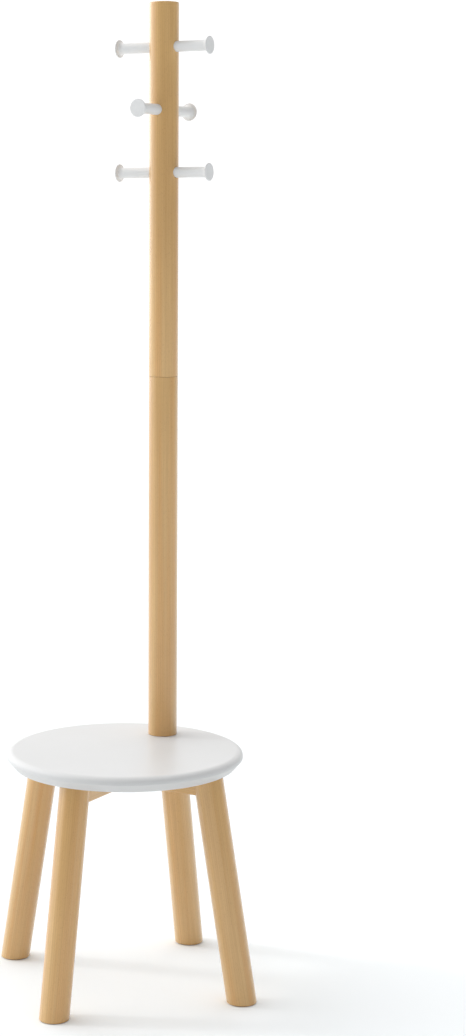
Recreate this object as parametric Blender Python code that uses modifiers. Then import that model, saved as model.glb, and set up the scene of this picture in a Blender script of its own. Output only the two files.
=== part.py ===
"""A coat rack that is also a stool.

A round seat stands on four splayed legs. Two lapped beams under the seat hold the legs in
two glued pairs. A pole in two sections stands on the back of the seat and carries six pegs
on three levels. Screwed joints are bolts and studs in threaded sleeves.

Units are metres and +Z is up. The origin is on the floor under the middle of the seat. The
pole is at the back, towards +Y, and the legs point along +X, -X, +Y and -Y.
"""

from math import cos, pi, radians, sin, tan

import bmesh
import bpy
from mathutils import Matrix

# Driving dimensions --------------------------------------------------------------------

GAP = 0.0003  # left between two pieces that touch
BEYOND = 0.01  # how far a cutter runs out past the face that it cuts
TOTAL_HEIGHT = 1.654

SEAT_TOP = 0.405  # height of the sitting face
SEAT_RADIUS = 0.200
SEAT_THICKNESS = 0.026
SEAT_ROUND_IN = 0.012  # how far in from the rim the top edge starts to round over
SEAT_ROUND_DOWN = 0.009  # how far down the rounding ends
SEAT_BAND = 0.012  # from the sitting face down to where the lower edge starts to slope in
SEAT_CHAMFER = 0.012  # how far that slope runs in

POLE_RADIUS = 0.025
POLE_OFFSET = 0.128  # from the middle of the seat back to the pole's axis
POLE_TOP_ROUND = 0.002
POLE_END_ROUND = 0.0005  # at the join and at the foot

LEG_RADIUS = 0.025
LEG_SPLAY = radians(10)
LEG_FOOT_REACH = 0.2267  # from the origin out to the leg's axis at floor level
LEG_EDGE_ROUND = 0.0015

BEAM_WIDTH = 0.034
BEAM_HEIGHT = 0.032
BEAM_REACH = 0.149  # from the middle to the end of the full section, inside the leg
BEAM_EDGE_ROUND = 0.0025
TENON_REACH = 0.168
TENON_WIDTH = 0.018
TENON_HEIGHT = 0.020

PEG_ROD_RADIUS = 0.009
PEG_HEAD_RADIUS = 0.015
PEG_REACH = 0.088  # from the pole's axis to the outer face of the head
PEG_HEAD_THICKNESS = 0.0025
PEG_FLARE = 0.009  # length of the hollow curve from the rod to the head
PEG_SEAT = 0.022  # from the pole's axis to the flat that the peg sits on
PEG_FIRST_DROP = 0.0733  # from the top of the pole to the upper pegs
PEG_SPACING = 0.1038

GLIDE_RADIUS = 0.015
GLIDE_THICKNESS = 0.003
GLIDE_PROUD = 0.001  # how far the glide stands out of the leg

SEAT_BOLT_REACH = 0.085  # from the middle to each arm's seat bolt
DOWEL_RADIUS = 0.004
DOWEL_HALF = 0.011  # length of the dowel in each piece
DOWEL_SPOT = (0, -0.014, 0)  # from the pole's axis forwards to the dowel's

# Radii and lengths of the fasteners, by nominal thread size
M6 = dict(rod=0.003, sleeve=0.005, sleeve_length=0.013, washer=0.006, head=0.0055, socket=0.0023)
M8 = dict(rod=0.004, sleeve=0.006, sleeve_length=0.025, washer=0.008, head=0.0070, socket=0.0029)
SLEEVE_ROOM = 3 * GAP  # a sleeve's hole is deeper than the sleeve
HEAD_HEIGHT = 0.0035
HEAD_ROUND = 0.0022
SOCKET_DEPTH = 0.002
WASHER_THICKNESS = 0.0016
COUNTERBORE_DEPTH = 0.0065  # hides the washer and the bolt's head in the beam
BOLT_HOLE_ROOM = 0.0005  # between a bolt or its washer and the wood around it
STUD_SHORT = 0.001  # how far a stud or a bolt stops short of the end of its sleeve
PEG_STUD_DEPTH = 0.016  # how far a peg's stud runs into the peg
ROD_CHAMFER = 0.0005

# Heights worked out from them
SEAT_UNDERSIDE = SEAT_TOP - SEAT_THICKNESS
FRAME_TOP = SEAT_UNDERSIDE - GAP
BEAM_MIDDLE = FRAME_TOP - BEAM_HEIGHT / 2
BEAM_UNDERSIDE = FRAME_TOP - BEAM_HEIGHT
COUNTERBORE_TOP = BEAM_UNDERSIDE + COUNTERBORE_DEPTH
WASHER_UNDERSIDE = COUNTERBORE_TOP - GAP - WASHER_THICKNESS
BOLT_SEAT = WASHER_UNDERSIDE - GAP
POLE_FOOT = SEAT_TOP + GAP
POLE_JOIN = (SEAT_TOP + TOTAL_HEIGHT) / 2

# The direction in which each arm of the frame, and each peg, points
HEADINGS = {"front": -pi / 2, "right": 0.0, "back": pi / 2, "left": pi}
PEG_LEVELS = {"upper": ("left", "right"), "middle": ("front", "back"), "lower": ("left", "right")}

# Scene and finishes --------------------------------------------------------------------

for old in list(bpy.data.objects):
    bpy.data.objects.remove(old)

parts = bpy.data.collections.new("coat_rack")
cutters = bpy.data.collections.new("cutters")
for collection in (parts, cutters):
    bpy.context.scene.collection.children.link(collection)


def finish(name, colour, roughness, metallic=0.0):
    """A plain Principled material."""
    material = bpy.data.materials.new(name)
    material.use_nodes = True
    shader = material.node_tree.nodes["Principled BSDF"]
    shader.inputs["Base Color"].default_value = (*colour, 1.0)
    shader.inputs["Roughness"].default_value = roughness
    shader.inputs["Metallic"].default_value = metallic
    return material


BEECH = finish("beech", (0.56, 0.36, 0.17), 0.45)
WHITE = finish("white_lacquer", (0.84, 0.84, 0.83), 0.40)
STEEL = finish("zinc_steel", (0.62, 0.63, 0.65), 0.35, metallic=1.0)
FELT = finish("felt", (0.30, 0.28, 0.26), 0.95)

# Tools ---------------------------------------------------------------------------------


def frame(name, location=(0, 0, 0), rotation=(0, 0, 0), parent=None):
    """An empty that pieces are placed on."""
    empty = bpy.data.objects.new(name, None)
    parts.objects.link(empty)
    empty.location, empty.rotation_euler, empty.parent = location, rotation, parent
    return empty


def place(piece, parent, location, material):
    """Puts a new object in the rack or, with no material, among the cutters."""
    piece.parent, piece.location = parent, location
    if material:
        parts.objects.link(piece)
        piece.data.materials.append(material)
    else:
        cutters.objects.link(piece)
        piece.hide_render, piece.display_type = True, "WIRE"
    return piece


def turned(name, outline, steps, parent, material=None, location=(0, 0, 0), ring=False):
    """A solid turned about Z. Its outline of (radius, height) runs down the outer side, and it
    starts and ends on the axis, unless it is a ring, which closes on itself."""
    count = len(outline)
    edges = [(i, (i + 1) % count) for i in range(count if ring else count - 1)]
    mesh = bpy.data.meshes.new(name)
    mesh.from_pydata([(radius, 0, height) for radius, height in outline], edges, [])
    piece = bpy.data.objects.new(name, mesh)
    screw = piece.modifiers.new("turn", "SCREW")
    screw.steps = screw.render_steps = steps
    screw.use_merge_vertices = True
    screw.merge_threshold = 0.00001
    return place(piece, parent, location, material)


def box(name, low, high, parent, material=None):
    """A box between two corners."""
    shape = bmesh.new()
    bmesh.ops.create_cube(shape, size=1)
    size = [b - a for a, b in zip(low, high)]
    middle = [(a + b) / 2 for a, b in zip(low, high)]
    stretch = Matrix.Translation(middle) @ Matrix.Diagonal((*size, 1))
    bmesh.ops.transform(shape, matrix=stretch, verts=shape.verts)
    mesh = bpy.data.meshes.new(name)
    shape.to_mesh(mesh)
    shape.free()
    return place(bpy.data.objects.new(name, mesh), parent, (0, 0, 0), material)


def arc(radius, height, size, start, end, steps):
    """Points along part of a circle, for an outline. Its angles are in degrees, 0 outwards and 90 up."""
    angles = [radians(start + (end - start) * i / steps) for i in range(steps + 1)]
    return [(radius + size * cos(a), height + size * sin(a)) for a in angles]


def cylinder_outline(radius, low, high, top_round=0.0, foot_round=0.0, steps=3):
    """The outline of a cylinder between two heights, with its rims rounded."""
    top, foot = [(radius, high)], [(radius, low)]
    if top_round:
        top = arc(radius - top_round, high - top_round, top_round, 90, 0, steps)
    if foot_round:
        foot = arc(radius - foot_round, low + foot_round, foot_round, 0, -90, steps)
    return [(0, high), *top, *foot, (0, low)]


def change(piece, others, operation="DIFFERENCE"):
    """Cuts each of the others from the piece, or joins it on."""
    for other in others:
        boolean = piece.modifiers.new(other.name, "BOOLEAN")
        boolean.object, boolean.operation, boolean.solver = other, operation, "EXACT"
    return piece


def round_edges(piece, width, segments):
    """Rounds the sharp edges of a piece, and leaves the facets of its round sides alone."""
    bevel = piece.modifiers.new("edges", "BEVEL")
    bevel.width, bevel.segments, bevel.limit_method, bevel.angle_limit = width, segments, "ANGLE", radians(40)
    return piece


def hole(name, radius, low, high, parent, location=(0, 0, 0), steps=12):
    """A cutter for a round hole along the Z axis of its parent."""
    return turned(name, cylinder_outline(radius, low, high), steps, parent, location=location)


def stepped_hole(name, wide, narrow, outside, step, floor, parent, location=(0, 0, 0), steps=20):
    """A cutter for a wide hole from outside to the step, and a narrow one on to its floor. Two
    separate cutters would leave open edges where they meet."""
    outline = [(0, outside), (wide, outside), (wide, step), (narrow, step), (narrow, floor), (0, floor)]
    if floor > outside:
        outline.reverse()
    return turned(name, outline, steps, parent, location=location)


# Fasteners -----------------------------------------------------------------------------


def sleeve(name, size, top, parent, location=(0, 0, 0)):
    """A threaded sleeve, sunk in wood, that a bolt or stud screws into."""
    inner, outer, low = size["rod"] + GAP, size["sleeve"], top - size["sleeve_length"]
    outline = [(outer, top), (outer, low), (inner, low), (inner, top)]
    return turned(name, outline, 12, parent, STEEL, location, ring=True)


def washer(name, size, parent, location=(0, 0, 0)):
    """A flat washer in the beam's counterbore."""
    inner, outer = size["rod"] + GAP, size["washer"]
    low, high = WASHER_UNDERSIDE, WASHER_UNDERSIDE + WASHER_THICKNESS
    outline = [(outer, high), (outer, low), (inner, low), (inner, high)]
    return turned(name, outline, 16, parent, STEEL, location, ring=True)


def rod(name, radius, low, high, parent, material, location=(0, 0, 0)):
    """A stud or a dowel, with its two ends chamfered."""
    outline = cylinder_outline(radius, low, high, ROD_CHAMFER, ROD_CHAMFER, steps=1)
    return turned(name, outline, 12, parent, material, location)


def bolt(name, size, top, parent, location=(0, 0, 0)):
    """A bolt that points up through the beam. Its low round head has a hexagonal socket."""
    shank, head, face = size["rod"], size["head"], BOLT_SEAT - HEAD_HEIGHT
    outline = [
        (0, top),
        (shank - ROD_CHAMFER, top),
        (shank, top - ROD_CHAMFER),
        (shank, BOLT_SEAT),
        (head, BOLT_SEAT),
        *arc(head - HEAD_ROUND, face + HEAD_ROUND, HEAD_ROUND, 0, -90, 2),
        (0, face),
    ]
    piece = turned(name, outline, 18, parent, STEEL, location)
    socket = hole(f"{name}_socket", size["socket"], face - BEYOND, face + SOCKET_DEPTH, parent, location, 6)
    return change(piece, [socket])


# Frames --------------------------------------------------------------------------------

rack = frame("rack")
arms = {side: frame(f"{side}_arm", rotation=(0, 0, angle), parent=rack) for side, angle in HEADINGS.items()}
pole_axis = frame("pole_axis", location=(0, POLE_OFFSET, 0), parent=rack)
peg_axes = {}
for level, (level_name, sides) in enumerate(PEG_LEVELS.items()):
    height = TOTAL_HEIGHT - PEG_FIRST_DROP - level * PEG_SPACING
    for side in sides:
        # The Z axis of each of these points out along the peg.
        turn = (0, pi / 2, HEADINGS[side])
        peg = f"{level_name}_{side}"
        peg_axes[peg] = frame(f"{peg}_axis", (0, 0, height), turn, pole_axis)

# Where each seat bolt goes: on an arm at its reach, and at the middle
bolt_places = {side: (arm, (SEAT_BOLT_REACH, 0, 0)) for side, arm in arms.items()}
bolt_places["centre"] = (rack, (0, 0, 0))

# Seat ----------------------------------------------------------------------------------


def make_seat():
    """The round seat board, with its top edge rounded over and its lower edge sloping in."""
    # The top edge is a quarter of an ellipse, which is a quarter of a unit circle made wider.
    rim = [
        (SEAT_RADIUS - SEAT_ROUND_IN * (1 - across), SEAT_TOP - SEAT_ROUND_DOWN * (1 - up))
        for across, up in arc(0, 0, 1, 90, 0, 6)
    ]
    outline = [
        (0, SEAT_TOP),
        *rim,
        (SEAT_RADIUS, SEAT_TOP - SEAT_BAND),
        (SEAT_RADIUS - SEAT_CHAMFER, SEAT_UNDERSIDE),
        (0, SEAT_UNDERSIDE),
    ]
    seat = turned("seat", outline, 80, rack, WHITE)
    below, above = SEAT_UNDERSIDE - BEYOND, SEAT_TOP + BEYOND
    sleeve_top = SEAT_UNDERSIDE + M6["sleeve_length"] + SLEEVE_ROOM
    holes = [
        hole(f"{side}_seat_hole", M6["sleeve"] + GAP, below, sleeve_top, arm, spot)
        for side, (arm, spot) in bolt_places.items()
    ]
    holes.append(hole("pole_bolt_hole", M8["rod"] + BOLT_HOLE_ROOM, below, above, pole_axis))
    dowel_foot = SEAT_TOP - DOWEL_HALF - GAP
    holes.append(hole("seat_dowel_hole", DOWEL_RADIUS + GAP, dowel_foot, above, pole_axis, DOWEL_SPOT))
    change(seat, holes)


# Legs and their glides -----------------------------------------------------------------


def make_leg(side, arm):
    """A round leg that leans in, cut level at both ends and notched for its beam."""
    low, high = GLIDE_PROUD, FRAME_TOP
    shape = bmesh.new()
    bmesh.ops.create_cone(
        shape, cap_ends=True, segments=40, radius1=LEG_RADIUS, radius2=LEG_RADIUS, depth=high - low
    )
    bmesh.ops.translate(shape, vec=(0, 0, (low + high) / 2), verts=shape.verts)
    # A level cut through a leaning round bar is an ellipse, longer the way the bar leans.
    lean = Matrix.Diagonal((1 / cos(LEG_SPLAY), 1, 1, 1))
    lean[0][2] = -tan(LEG_SPLAY)
    bmesh.ops.transform(shape, matrix=lean, verts=shape.verts)
    mesh = bpy.data.meshes.new(f"leg_{side}")
    shape.to_mesh(mesh)
    shape.free()
    leg = place(bpy.data.objects.new(f"leg_{side}", mesh), arm, (LEG_FOOT_REACH, 0, 0), BEECH)
    round_edges(leg, LEG_EDGE_ROUND, 2)

    clear_of_leg = BEAM_REACH - 2 * LEG_RADIUS
    half_width, half_tenon = BEAM_WIDTH / 2 + GAP, TENON_WIDTH / 2 + GAP
    half_height = TENON_HEIGHT / 2 + GAP
    housing = box(
        f"{side}_housing",
        (clear_of_leg, -half_width, BEAM_UNDERSIDE - GAP),
        (BEAM_REACH + GAP, half_width, SEAT_TOP),
        arm,
    )
    mortise = box(
        f"{side}_mortise",
        (clear_of_leg, -half_tenon, BEAM_MIDDLE - half_height),
        (TENON_REACH + GAP, half_tenon, BEAM_MIDDLE + half_height),
        arm,
    )
    foot = (LEG_FOOT_REACH, 0, 0)
    recess = hole(f"{side}_recess", GLIDE_RADIUS + GAP, -BEYOND, GLIDE_THICKNESS + GAP, arm, foot, 20)
    change(leg, [housing, mortise, recess])


def make_glide(side, arm):
    """A round felt pad let into the foot."""
    outline = cylinder_outline(GLIDE_RADIUS, 0, GLIDE_THICKNESS, foot_round=ROD_CHAMFER, steps=1)
    turned(f"glide_{side}", outline, 20, arm, FELT, (LEG_FOOT_REACH, 0, 0))


# Beams ---------------------------------------------------------------------------------


def bolt_hole(name, size, parent, location=(0, 0, 0)):
    """A cutter for a bolt's hole up through a beam, with a counterbore for its head and washer."""
    wide, narrow = size["washer"] + BOLT_HOLE_ROOM, size["rod"] + BOLT_HOLE_ROOM
    low, high = BEAM_UNDERSIDE - BEYOND, FRAME_TOP + BEYOND
    return stepped_hole(name, wide, narrow, low, COUNTERBORE_TOP, high, parent, location)


def make_beam(name, arm, ends, notch_on_top):
    """A beam along an arm's X axis, between the two legs that it is named for. It has a tenon at
    each end, and half its height is cut away where the other beam crosses it."""
    half = BEAM_WIDTH / 2
    low, high = (-BEAM_REACH, -half, BEAM_UNDERSIDE), (BEAM_REACH, half, FRAME_TOP)
    beam = round_edges(box(name, low, high, arm, BEECH), BEAM_EDGE_ROUND, 2)
    tenons = box(
        f"{name}_tenons",
        (-TENON_REACH, -TENON_WIDTH / 2, BEAM_MIDDLE - TENON_HEIGHT / 2),
        (TENON_REACH, TENON_WIDTH / 2, BEAM_MIDDLE + TENON_HEIGHT / 2),
        arm,
    )
    notch_low, notch_high = BEAM_UNDERSIDE - BEYOND, BEAM_MIDDLE + GAP / 2
    if notch_on_top:
        notch_low, notch_high = BEAM_MIDDLE - GAP / 2, FRAME_TOP + BEYOND
    low, high = (-half - GAP, -BEAM_WIDTH, notch_low), (half + GAP, BEAM_WIDTH, notch_high)
    notch = box(f"{name}_notch", low, high, arm)
    holes = [bolt_hole(f"{name}_{side}_hole", M6, *bolt_places[side]) for side in (*ends, "centre")]
    if "back" in ends:
        holes.append(bolt_hole("beam_pole_hole", M8, pole_axis))
    change(beam, [tenons], "UNION")
    change(beam, [notch, *holes])


# Pole ----------------------------------------------------------------------------------


def make_lower_pole():
    """The lower section, with a sleeve hole at each end and a dowel hole in its foot."""
    top = POLE_JOIN - GAP / 2
    outline = cylinder_outline(POLE_RADIUS, POLE_FOOT, top, POLE_END_ROUND, POLE_END_ROUND, steps=1)
    pole = turned("lower_pole", outline, 40, pole_axis, BEECH)
    depth, radius, below = M8["sleeve_length"] + SLEEVE_ROOM, M8["sleeve"] + GAP, POLE_FOOT - BEYOND
    foot_hole = hole("pole_foot_hole", radius, below, POLE_FOOT + depth, pole_axis)
    join_hole = hole("lower_join_hole", radius, top - depth, top + BEYOND, pole_axis)
    dowel_top = POLE_FOOT + DOWEL_HALF + GAP
    dowel_hole = hole("pole_dowel_hole", DOWEL_RADIUS + GAP, below, dowel_top, pole_axis, DOWEL_SPOT)
    change(pole, [foot_hole, join_hole, dowel_hole])


def make_upper_pole():
    """The upper section, with a sleeve hole in its lower end and six peg seats."""
    foot = POLE_JOIN + GAP / 2
    outline = cylinder_outline(POLE_RADIUS, foot, TOTAL_HEIGHT, POLE_TOP_ROUND, POLE_END_ROUND)
    pole = turned("upper_pole", outline, 40, pole_axis, BEECH)
    join_top = foot + M8["sleeve_length"] + SLEEVE_ROOM
    join_hole = hole("upper_join_hole", M8["sleeve"] + GAP, foot - BEYOND, join_top, pole_axis)
    # A shallow seat as wide as the peg's rod, and the sleeve's narrower hole below it
    wide, narrow, outside = PEG_ROD_RADIUS + GAP, M6["sleeve"] + GAP, POLE_RADIUS + BEYOND
    floor = PEG_SEAT - M6["sleeve_length"] - SLEEVE_ROOM
    peg_seats = [
        stepped_hole(f"{peg}_peg_seat", wide, narrow, outside, PEG_SEAT, floor, axis)
        for peg, axis in peg_axes.items()
    ]
    change(pole, [join_hole, *peg_seats])


def make_pole_fasteners():
    """The stud of the join, the bolt and dowel of the foot, and their sleeves."""
    reach = M8["sleeve_length"] - STUD_SHORT
    rod("join_stud", M8["rod"], POLE_JOIN - reach, POLE_JOIN + reach, pole_axis, STEEL)
    sleeve("join_sleeve_lower", M8, POLE_JOIN - GAP, pole_axis)
    sleeve("join_sleeve_upper", M8, POLE_JOIN + GAP + M8["sleeve_length"], pole_axis)
    sleeve("foot_sleeve", M8, POLE_FOOT + GAP + M8["sleeve_length"], pole_axis)
    bolt("pole_bolt", M8, SEAT_TOP + reach, pole_axis)
    washer("pole_washer", M8, pole_axis)
    low, high = SEAT_TOP - DOWEL_HALF, POLE_FOOT + DOWEL_HALF
    rod("foot_dowel", DOWEL_RADIUS, low, high, pole_axis, BEECH, DOWEL_SPOT)


# Pegs ----------------------------------------------------------------------------------


def make_peg(place_name, axis):
    """A turned peg: a straight rod that opens in a hollow curve to a thin round head. A stud
    in its root screws into a sleeve in the pole."""
    rim = PEG_HEAD_THICKNESS / 2
    rim_radius = PEG_HEAD_RADIUS - rim
    flare_start = PEG_REACH - PEG_HEAD_THICKNESS - PEG_FLARE
    flare_rise = rim_radius - PEG_ROD_RADIUS
    flare = [
        (PEG_ROD_RADIUS + flare_rise * (1 - cos(angle)), flare_start + PEG_FLARE * sin(angle))
        for angle in map(radians, (65, 45, 25, 0))
    ]
    root = PEG_SEAT + GAP
    stud_hole, hole_end = M6["rod"] + GAP, root + PEG_STUD_DEPTH + GAP
    outline = [
        (0, PEG_REACH),
        *arc(rim_radius, PEG_REACH - rim, rim, 90, -90, 4),
        *flare,
        (PEG_ROD_RADIUS, root),
        (stud_hole, root),
        (stud_hole, hole_end),
        (0, hole_end),
    ]
    turned(f"peg_{place_name}", outline, 20, axis, WHITE)
    stud_foot = PEG_SEAT - GAP - M6["sleeve_length"] + STUD_SHORT
    rod(f"peg_stud_{place_name}", M6["rod"], stud_foot, root + PEG_STUD_DEPTH, axis, STEEL)
    sleeve(f"peg_sleeve_{place_name}", M6, PEG_SEAT - GAP, axis)


# Assembly ------------------------------------------------------------------------------

make_seat()
for side, arm in arms.items():
    make_leg(side, arm)
    make_glide(side, arm)
make_beam("beam_left_right", arms["right"], ("left", "right"), notch_on_top=False)
make_beam("beam_front_back", arms["back"], ("front", "back"), notch_on_top=True)
for side, (arm, spot) in bolt_places.items():
    bolt(f"seat_bolt_{side}", M6, SEAT_UNDERSIDE + M6["sleeve_length"] - STUD_SHORT, arm, spot)
    washer(f"seat_washer_{side}", M6, arm, spot)
    sleeve(f"seat_sleeve_{side}", M6, SEAT_UNDERSIDE + GAP + M6["sleeve_length"], arm, spot)
make_lower_pole()
make_upper_pole()
make_pole_fasteners()
for place_name, axis in peg_axes.items():
    make_peg(place_name, axis)

# The modifiers are applied, and round sides shaded smooth.
bpy.context.view_layer.update()
graph = bpy.context.evaluated_depsgraph_get()
solids = [piece for piece in parts.objects if piece.type == "MESH"]
finished = {piece: bpy.data.meshes.new_from_object(piece.evaluated_get(graph)) for piece in solids}
for piece, mesh in finished.items():
    piece.modifiers.clear()
    piece.data = mesh
    mesh.name = piece.name
    mesh.shade_smooth()
    mesh.set_sharp_from_angle(angle=radians(35))
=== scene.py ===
# %% [markdown]
# # A coat rack that is also a stool
#
# The rack is a white round seat on four splayed beech legs, with a beech pole at its back that
# carries six white pegs. The CAD model already fixes every size and place, so this script only
# gives the visible pieces their fine surface, and every piece its finish. Each step first says
# what the piece is on the real object, and why it is made the way it is.

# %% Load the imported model
from math import atan2, ceil, cos, degrees, pi, radians, sin, tan

import bmesh
import bpy
from mathutils import Matrix, Vector


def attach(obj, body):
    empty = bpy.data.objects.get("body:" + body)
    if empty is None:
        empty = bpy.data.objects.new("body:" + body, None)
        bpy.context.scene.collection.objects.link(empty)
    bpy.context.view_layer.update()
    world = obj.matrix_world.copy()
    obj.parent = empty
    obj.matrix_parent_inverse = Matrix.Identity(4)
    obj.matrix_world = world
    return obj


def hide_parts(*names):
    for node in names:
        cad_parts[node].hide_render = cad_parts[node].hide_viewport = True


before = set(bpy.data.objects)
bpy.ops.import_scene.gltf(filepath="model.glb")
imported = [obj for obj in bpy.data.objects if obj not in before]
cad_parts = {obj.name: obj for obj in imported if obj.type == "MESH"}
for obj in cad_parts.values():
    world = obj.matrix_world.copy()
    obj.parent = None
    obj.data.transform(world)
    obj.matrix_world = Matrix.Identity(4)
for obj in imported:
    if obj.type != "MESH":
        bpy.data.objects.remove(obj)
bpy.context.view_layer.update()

# %% [markdown]
# ## Camera
#
# The rack is seen from a standing person's chest height, turned to its right, with a long lens
# that keeps its uprights nearly parallel. The picture is a tall strip with the rack at its left,
# so the lens is shifted sideways and the view itself isn't turned.

# %% Camera
CAMERA_TURN = radians(30.75)  # round the rack, from straight in front towards its right
CAMERA_TILT = radians(7.83)  # downwards
CAMERA_DISTANCE = 3.6211
CAMERA_HEIGHT = 1.298
SENSOR = 36.0
LENS = 75.94
SIDE_SHIFT = 0.1042
FARTHEST_SEEN = 60

scene = bpy.context.scene
camera = bpy.data.objects.new("camera", bpy.data.cameras.new("camera"))
scene.collection.objects.link(camera)
scene.camera = camera
camera.location = (
    CAMERA_DISTANCE * sin(CAMERA_TURN),
    -CAMERA_DISTANCE * cos(CAMERA_TURN),
    CAMERA_HEIGHT,
)
camera.rotation_euler = (pi / 2 - CAMERA_TILT, 0, CAMERA_TURN)
camera.data.sensor_width = SENSOR
camera.data.lens = LENS
camera.data.shift_x = SIDE_SHIFT
camera.data.clip_end = FARTHEST_SEEN
print("camera at", [round(v, 3) for v in camera.location])

# %% [markdown]
# ## Node helpers
#
# Node trees are long to write out, so a few small helpers keep each step on one line. The first
# adds a node, sets its options, and fills its sockets with values or links.


# %% Node helpers
FLOAT, VECTOR, COLOUR = "NodeSocketFloat", "NodeSocketVector", "NodeSocketColor"
INTEGER, MATERIAL, GEOMETRY = "NodeSocketInt", "NodeSocketMaterial", "NodeSocketGeometry"


def node(tree, kind, sockets=None, **options):
    """Adds a node. A socket is named or numbered, and takes a value or another node's output."""
    made = tree.nodes.new(kind)
    for option, value in options.items():
        setattr(made, option, value)
    for key, value in (sockets or {}).items():
        if isinstance(value, bpy.types.NodeSocket):
            tree.links.new(value, made.inputs[key])
        else:
            made.inputs[key].default_value = value
    return made


def maths(tree, operation, *values, clamp=False):
    """The result of a Math node."""
    sockets = dict(enumerate(values))
    made = node(tree, "ShaderNodeMath", sockets, operation=operation, use_clamp=clamp)
    return made.outputs[0]


def group(name, kind, inputs, outputs):
    """A node group with its named sockets, and its input and output nodes' sockets."""
    tree = bpy.data.node_groups.new(name, kind)
    for direction, sockets in (("INPUT", inputs), ("OUTPUT", outputs)):
        for label, socket_type in sockets.items():
            tree.interface.new_socket(label, in_out=direction, socket_type=socket_type)
    group_input, group_output = tree.nodes.new("NodeGroupInput"), tree.nodes.new("NodeGroupOutput")
    return tree, group_input.outputs, group_output.inputs


def stretched(tree, position, scale):
    """The position scaled by a different number each way."""
    sockets = {0: position, 1: scale}
    return node(tree, "ShaderNodeVectorMath", sockets, operation="MULTIPLY").outputs[0]


def noise(tree, position, detail=2.0, roughness=0.5):
    """Noise at the scale that the position already has. It mostly lies between 0.3 and 0.7."""
    sockets = {"Vector": position, "Scale": 1.0, "Detail": detail, "Roughness": roughness}
    return node(tree, "ShaderNodeTexNoise", sockets).outputs["Fac"]


def mixed(tree, share, first, second):
    """One colour over another."""
    sockets = {0: share, 6: first, 7: second}
    return node(tree, "ShaderNodeMix", sockets, data_type="RGBA").outputs[2]


def spread(tree, value, low, high, to_low=0.0, to_high=1.0):
    """A value moved smoothly from one range to another."""
    sockets = {0: value, 1: low, 2: high, 3: to_low, 4: to_high}
    return node(tree, "ShaderNodeMapRange", sockets, interpolation_type="SMOOTHSTEP").outputs[0]


# %% [markdown]
# ## Beech
#
# Beech is a pale honey-brown wood. Up close it shows growth rings a few millimetres apart, broad
# honey bands and soft darker patches, streaks and fine fibres along the grain, and thousands of
# short darker flecks where rays cross the cut. The finish is worked out in the solid, so the
# same rule gives long lines on the sides and arcs on the sawn ends, as in real timber. Z is the
# grain's direction here, and the pith, the middle of the tree, lies outside the piece, as it does
# in a turned dowel.

# %% Beech grain, as a node group
# How often each pattern repeats in a metre, across the grain both ways and then along it
WANDER_SCALE = (14.0, 14.0, 2.2)
FIBRE_SCALE = (900.0, 900.0, 14.0)
STREAK_SCALE = (170.0, 170.0, 2.2)
BAND_SCALE = (75.0, 75.0, 1.4)
PATCH_SCALE = (9.0, 9.0, 3.0)

grain, grain_in, grain_out = group(
    "beech_grain",
    "ShaderNodeTree",
    {"Position": VECTOR},
    {"Color": COLOUR, "Roughness": FLOAT, "Height": FLOAT},
)
position = grain_in["Position"]
wander = noise(grain, stretched(grain, position, WANDER_SCALE))
fibre = noise(grain, stretched(grain, position, FIBRE_SCALE))
streak = noise(grain, stretched(grain, position, STREAK_SCALE), detail=3.0, roughness=0.6)
band = noise(grain, stretched(grain, position, BAND_SCALE), detail=1.0)
patch = noise(grain, stretched(grain, position, PATCH_SCALE), detail=1.0)
print("beech patterns along the grain:", len(grain.nodes), "nodes")

# %% [markdown]
# The rings are the distance from the pith, bent a little and cut into equal steps. A power keeps
# the dark of each ring near its outer edge, where the tree grew slowly. A fleck is a lens in a
# long narrow cell, and only cells whose own random number is high hold one.

# %% Beech rings and flecks
RING_SPACING = 0.0031
RING_BEND = 0.010
RING_POWER = 3.0
PITH = (0.062, 0.034, 0.0)  # from the piece's middle to the middle of the tree
FLECK_SCALE = (800.0, 800.0, 210.0)
FLECK_NARROWING = 2.6
FLECK_CHANCE = 0.45

to_pith = {0: position, 1: PITH}
from_pith = node(grain, "ShaderNodeVectorMath", to_pith, operation="SUBTRACT").outputs[0]
flat = stretched(grain, from_pith, (1.0, 1.0, 0.0))
distance = node(grain, "ShaderNodeVectorMath", {0: flat}, operation="LENGTH").outputs["Value"]
bent = maths(grain, "ADD", distance, maths(grain, "MULTIPLY", wander, RING_BEND))
ring = maths(grain, "FRACT", maths(grain, "DIVIDE", bent, RING_SPACING))
late = maths(grain, "POWER", ring, RING_POWER)

fleck_place = stretched(grain, position, FLECK_SCALE)
cells = node(grain, "ShaderNodeTexVoronoi", {"Vector": fleck_place, "Scale": 1.0}).outputs
from_middle = maths(grain, "MULTIPLY", cells["Distance"], FLECK_NARROWING)
lens = maths(grain, "SUBTRACT", 1.0, from_middle, clamp=True)
chance = node(grain, "ShaderNodeSeparateColor", {"Color": cells["Color"]}).outputs[0]
fleck = maths(grain, "MULTIPLY", lens, maths(grain, "GREATER_THAN", chance, FLECK_CHANCE))
print("beech rings and flecks:", len(grain.nodes), "nodes so far")

# %% [markdown]
# The patterns are now mixed from the broad ones to the finest. Each one only moves the colour a
# little, because beech is an even wood and reads as one tone from across a room. The flecks and
# the fibres also dent the lacquer very slightly, which gives the satin its broken edge.

# %% Beech colour, roughness and height
PALE = (0.725, 0.460, 0.182, 1)
MIDDLE = (0.650, 0.390, 0.140, 1)
HONEY = (0.680, 0.345, 0.095, 1)
DEEP = (0.510, 0.275, 0.087, 1)
FLECK_BROWN = (0.340, 0.165, 0.052, 1)
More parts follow.
